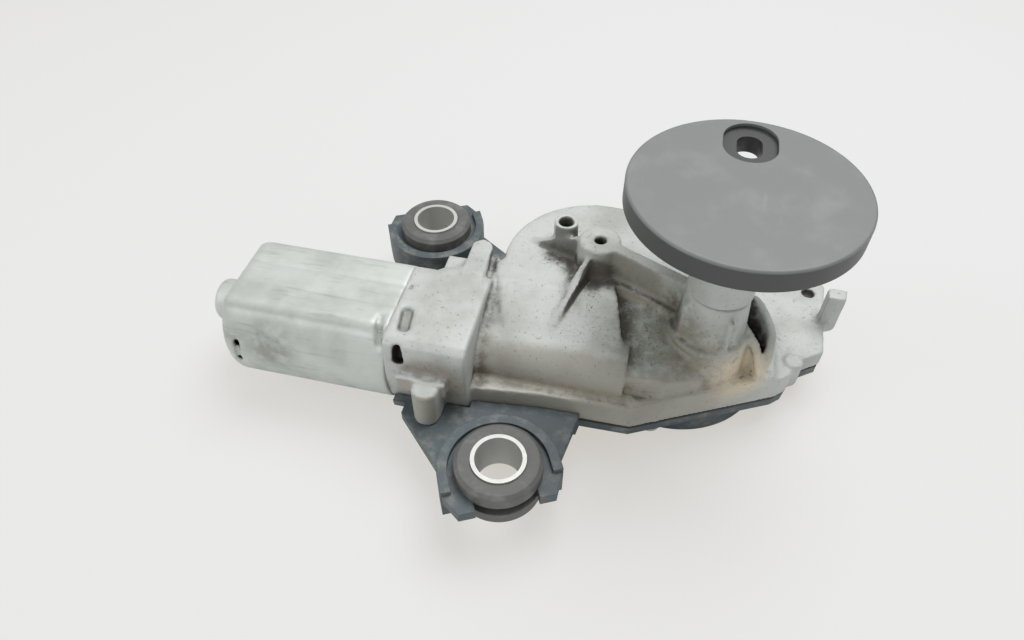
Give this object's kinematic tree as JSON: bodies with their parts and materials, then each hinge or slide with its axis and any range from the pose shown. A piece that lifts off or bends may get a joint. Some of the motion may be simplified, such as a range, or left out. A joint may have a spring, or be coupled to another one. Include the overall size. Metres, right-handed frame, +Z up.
{
  "type": "rear wiper motor",
  "caption": "Wiper motor with a worm gearbox, swinging output shaft, round coupling disc and rubber-bushed mounting ears.",
  "frame": {"origin": "centre of the coupling disc's top face, on the output shaft's axis", "axes": "+Z up along the output shaft, +X from the motor can towards the gearbox, parallel to the motor's axis"},
  "size_m": [0.2178, 0.1479, 0.0977],
  "materials": {
    "cast_aluminium": "rough cast",
    "dark_moulding": "rough",
    "black_rubber": "matt",
    "zinc_steel": "satin",
    "can_steel": "scuffed",
    "ferrite": "matt",
    "bronze": "sintered",
    "spring_steel": "satin",
    "tan_moulding": "satin",
    "carbon": "matt",
    "bright_steel": "ground",
    "white_moulding": "satin",
    "mount_rubber": "matt",
    "sleeve_steel": "turned",
    "black_moulding": "satin",
    "brass": "satin",
    "board_green": "satin",
    "core_iron": "laminated",
    "copper": "satin",
    "disc_plastic": "fine matt"
  },
  "bodies": {
    "housing": {"gear_housing": "cast_aluminium", "base_cover": "dark_moulding", "cover_seal": "black_rubber", "cover_screws": "zinc_steel", "motor_can": "can_steel", "field_magnets": "ferrite", "can_bearing": "bronze", "bearing_retainer": "spring_steel", "neck_bearing": "bronze", "worm_end_bush": "bronze", "thrust_ball": "spring_steel", "brush_plate": "tan_moulding", "carbon_brushes": "carbon", "brush_springs": "spring_steel", "wheel_pin": "bright_steel", "wheel_clip": "spring_steel", "upper_bush": "bronze", "lower_bush": "bronze", "shaft_seal": "black_rubber", "thrust_washer": "white_moulding", "front_grommet": "mount_rubber", "rear_grommet": "mount_rubber", "front_sleeve": "sleeve_steel", "rear_sleeve": "sleeve_steel", "connector_socket": "black_moulding", "terminal_pins": "brass", "circuit_board": "board_green"},
    "armature": {"armature_shaft": "bright_steel", "armature_core": "core_iron", "armature_windings": "copper", "commutator": "copper"},
    "wheel": {"worm_wheel": "white_moulding", "crank_pin": "bright_steel"},
    "output": {"output_shaft": "bright_steel", "output_lever": "zinc_steel", "lever_pin": "bright_steel", "disc_hub": "cast_aluminium", "coupling_disc": "disc_plastic"},
    "link": {"drive_link": "zinc_steel"}
  },
  "joints": [
    {"name": "armature_spin", "type": "hinge", "parent": "housing", "child": "armature", "pos_m": [-0.04, -0.0129, -0.0709], "axis": [1, 0, 0], "continuous": true},
    {"name": "wheel_spin", "type": "hinge", "parent": "housing", "child": "wheel", "pos_m": [-0.04, 0.018, -0.0709], "axis": [0, 0, 1], "continuous": true},
    {"name": "output_swing", "type": "hinge", "parent": "housing", "child": "output", "pos_m": [0, 0, -0.0425], "axis": [0, 0, 1], "range_deg": [-48, 48]},
    {"name": "link_swing", "type": "hinge", "parent": "output", "child": "link", "pos_m": [0.00304, 0.01723, -0.0798], "axis": [0, 0, 1], "range_deg": [-43.5, 43.5]}
  ],
  "couplings": [
    {"joint": "wheel_spin", "follows": "armature_spin", "ratio": -0.020833},
    {"joint": "link_swing", "follows": "output_swing", "ratio": -0.9}
  ]
}
